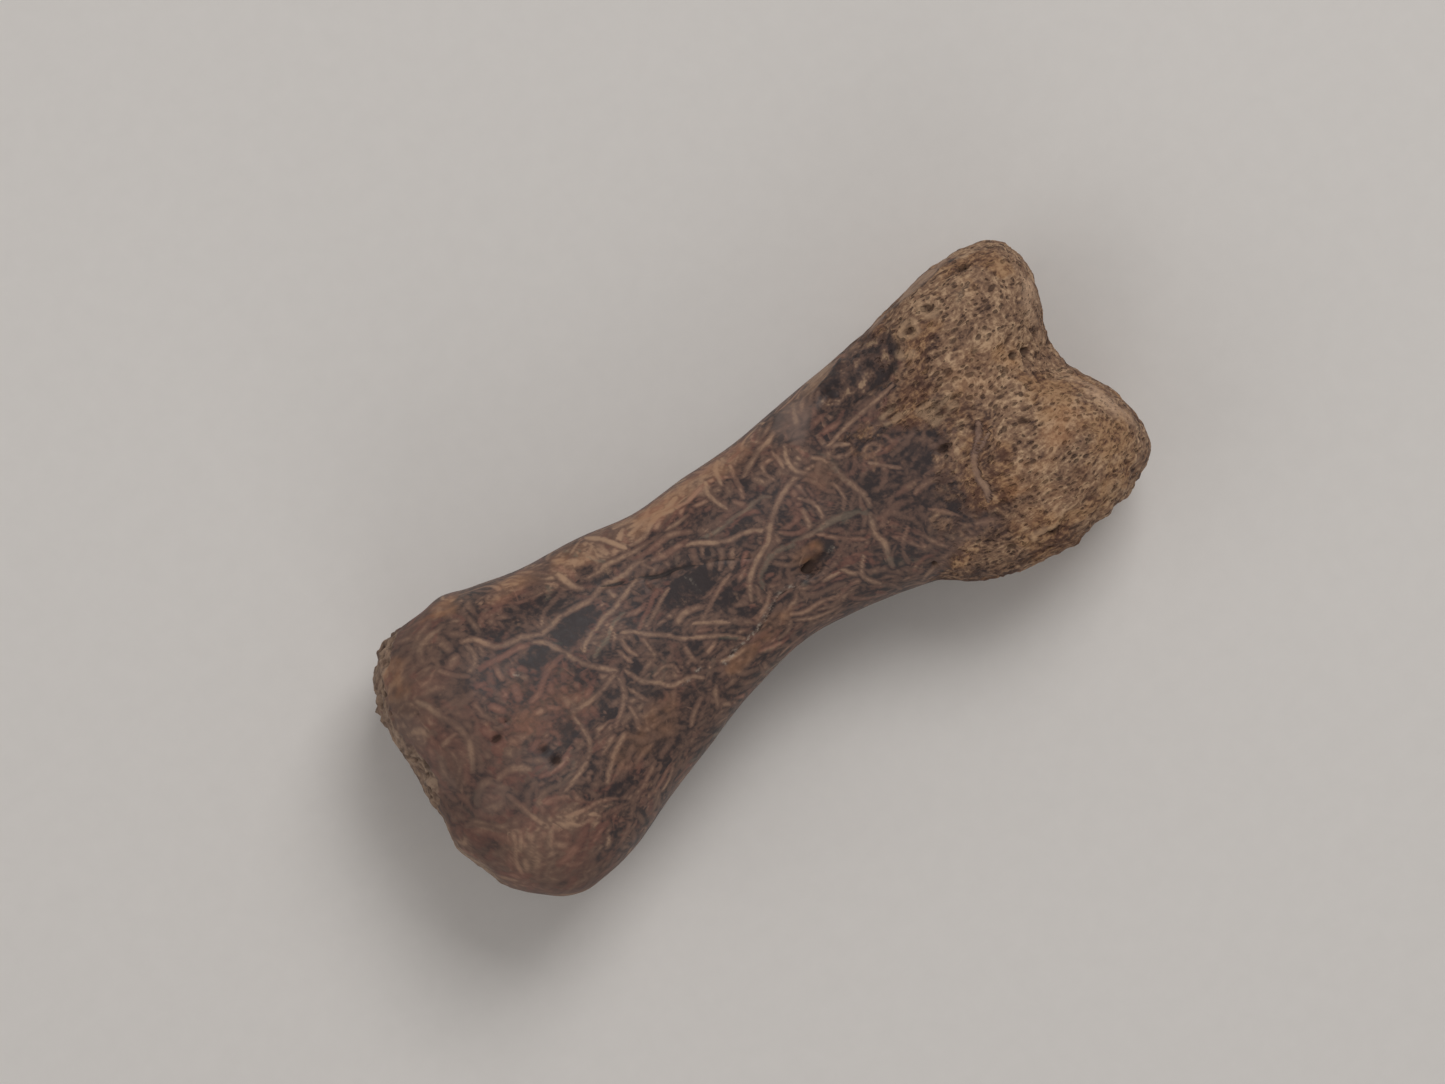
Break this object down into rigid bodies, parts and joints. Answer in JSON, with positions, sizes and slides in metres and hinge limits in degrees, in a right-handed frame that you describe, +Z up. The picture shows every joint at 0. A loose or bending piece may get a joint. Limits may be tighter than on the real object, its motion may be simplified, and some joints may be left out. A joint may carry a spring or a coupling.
{
  "type": "fossil dinosaur toe bone",
  "caption": "Brown fossil toe bone, waisted in the middle, with a shallow socket at one end and a grooved two-lobed knuckle at the other.",
  "frame": {"origin": "middle of the bone's footprint, on the surface that it lies on", "axes": "+X along the bone towards the two-lobed knuckle, +Y across it, +Z up out of the broad upper face"},
  "size_m": [0.0378, 0.0153, 0.012],
  "materials": {
    "fossil_bone": "satin, mineralised bone: dark brown with a net of paler veins, grainy and tan at the knuckle"
  },
  "bodies": {
    "root": {"toe_bone": "fossil_bone"}
  },
  "joints": []
}
